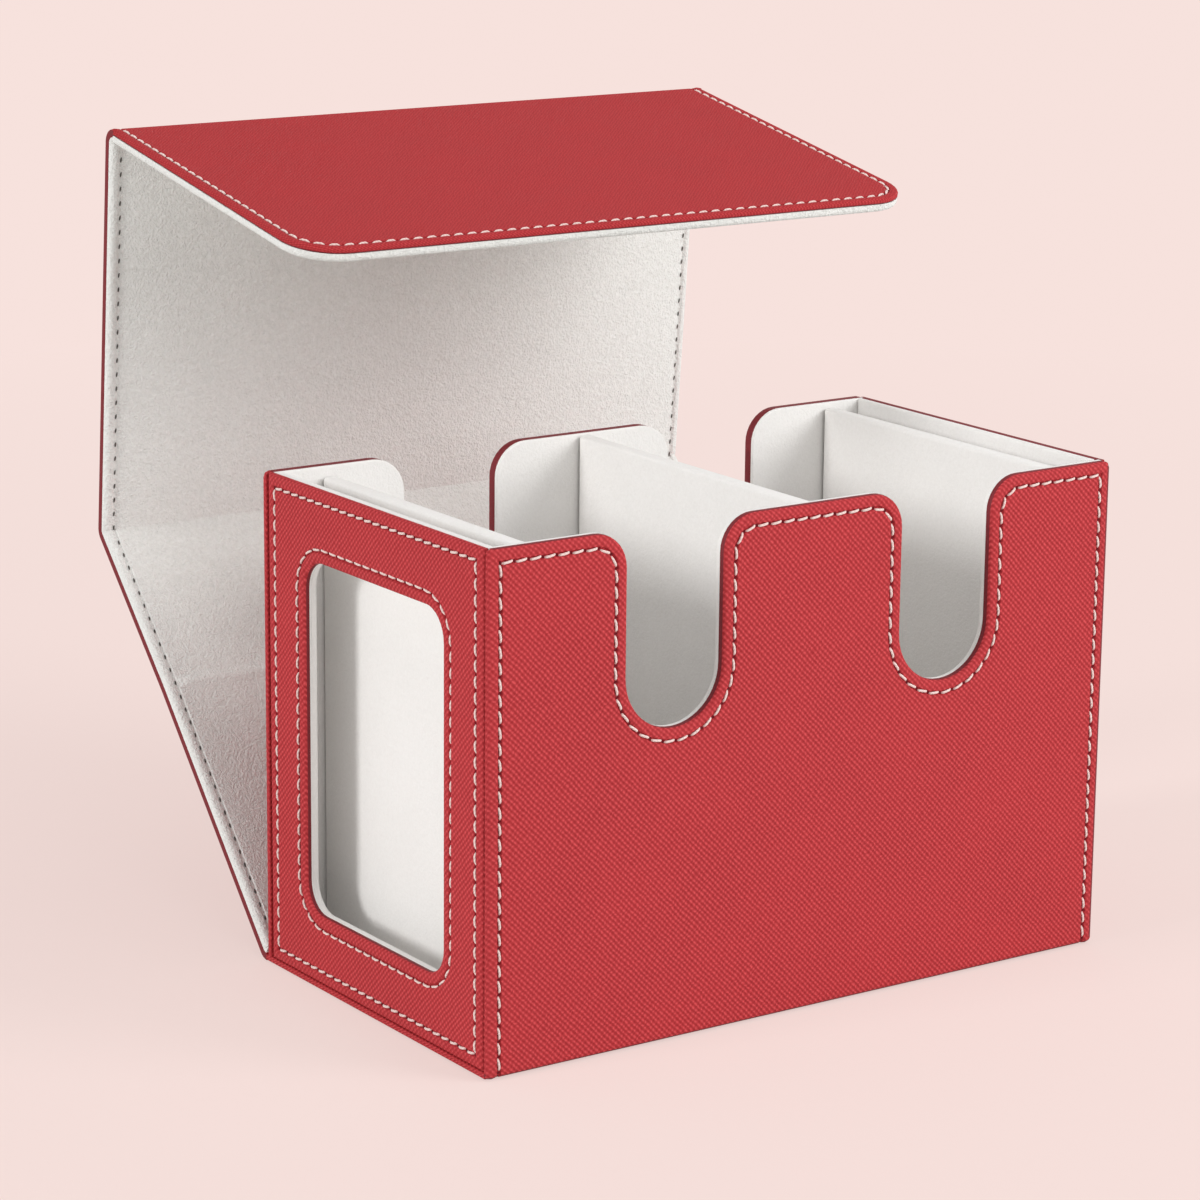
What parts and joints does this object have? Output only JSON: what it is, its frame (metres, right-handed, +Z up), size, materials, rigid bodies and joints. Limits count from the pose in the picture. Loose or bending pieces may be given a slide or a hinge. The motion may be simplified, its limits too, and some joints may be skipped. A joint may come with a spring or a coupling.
{
  "type": "card deck box",
  "caption": "Leather-covered card box with a folding wrap-over lid, thumb notches, a display window in one end, and loose dividers.",
  "frame": {"origin": "centre of the box's footprint, on the surface that the base stands on", "axes": "+X along the front wall away from the window end, +Y from the front wall to the lid's hinge, +Z up"},
  "size_m": [0.1472, 0.1506, 0.1598],
  "materials": {
    "red_leather": "embossed cross-hatch grain, satin",
    "white_lining": "brushed microfibre",
    "grey_board": "plain grey board",
    "seam_thread": "twisted off-white thread",
    "magnet_metal": "nickel-plated disc"
  },
  "bodies": {
    "box": {"base_leather": "red_leather", "base_board": "grey_board", "base_lining": "white_lining", "front_wall_leather": "red_leather", "front_wall_board": "grey_board", "front_wall_lining": "white_lining", "front_wall_stitching": "seam_thread", "front_wall_magnets": "magnet_metal", "back_wall_leather": "red_leather", "back_wall_board": "grey_board", "back_wall_lining": "white_lining", "back_wall_stitching": "seam_thread", "window_end_leather": "red_leather", "window_end_board": "grey_board", "window_end_lining": "white_lining", "window_end_stitching": "seam_thread", "window_rim_stitching": "seam_thread", "plain_end_leather": "red_leather", "plain_end_board": "grey_board", "plain_end_lining": "white_lining", "plain_end_stitching": "seam_thread", "display_partition_cover": "white_lining", "display_partition_board": "grey_board", "base_fold_leather": "red_leather", "base_fold_lining": "white_lining"},
    "lid_lower": {"lid_lower_leather": "red_leather", "lid_lower_board": "grey_board", "lid_lower_lining": "white_lining", "lid_lower_stitching": "seam_thread"},
    "lid_upper": {"lid_upper_leather": "red_leather", "lid_upper_board": "grey_board", "lid_upper_lining": "white_lining", "lid_upper_stitching": "seam_thread"},
    "top_spine": {"top_spine_leather": "red_leather", "top_spine_lining": "white_lining"},
    "lid_top": {"lid_top_leather": "red_leather", "lid_top_board": "grey_board", "lid_top_lining": "white_lining", "lid_top_stitching": "seam_thread"},
    "flap_spine": {"flap_spine_leather": "red_leather", "flap_spine_lining": "white_lining"},
    "flap": {"flap_leather": "red_leather", "flap_board": "grey_board", "flap_lining": "white_lining", "flap_stitching": "seam_thread", "flap_magnets": "magnet_metal"},
    "centre_divider": {"centre_divider_cover": "white_lining", "centre_divider_board": "grey_board"},
    "end_divider": {"end_divider_cover": "white_lining", "end_divider_board": "grey_board"}
  },
  "joints": [
    {"name": "lid_hinge", "type": "hinge", "parent": "box", "child": "lid_lower", "pos_m": [0, 0.04085, 0.003], "axis": [-1, 0, 0], "range_deg": [-41.6, 44], "deforming": ["base_fold_leather", "base_fold_lining"]},
    {"name": "back_crease", "type": "hinge", "parent": "lid_lower", "child": "lid_upper", "pos_m": [0, 0.08293, 0.04588], "axis": [-1, 0, 0], "range_deg": [-2.06, 2.18]},
    {"name": "top_spine_fold", "type": "hinge", "parent": "lid_upper", "child": "top_spine", "pos_m": [0, 0.10671, 0.07515], "axis": [-1, 0, 0], "range_deg": [-17.6, 18.6], "deforming": ["top_spine_leather", "top_spine_lining"]},
    {"name": "top_fold", "type": "hinge", "parent": "top_spine", "child": "lid_top", "pos_m": [0, 0.10671, 0.07515], "axis": [-1, 0, 0], "range_deg": [-24, 22]},
    {"name": "flap_spine_fold", "type": "hinge", "parent": "lid_top", "child": "flap_spine", "pos_m": [0, 0.09995, 0.15657], "axis": [1, 0, 0], "range_deg": [-5.94, 6.28], "deforming": ["flap_spine_leather", "flap_spine_lining"]},
    {"name": "flap_fold", "type": "hinge", "parent": "flap_spine", "child": "flap", "pos_m": [0, 0.09995, 0.15657], "axis": [-1, 0, 0], "range_deg": [0, 88]},
    {"name": "centre_divider_slide", "type": "slide", "parent": "box", "child": "centre_divider", "axis": [1, 0, 0], "range_m": [-0.056, 0.028]},
    {"name": "end_divider_slide", "type": "slide", "parent": "box", "child": "end_divider", "axis": [1, 0, 0], "range_m": [-0.028, 0.0055]}
  ],
  "couplings": [
    {"joint": "back_crease", "follows": "lid_hinge", "ratio": 0.049279}
  ]
}
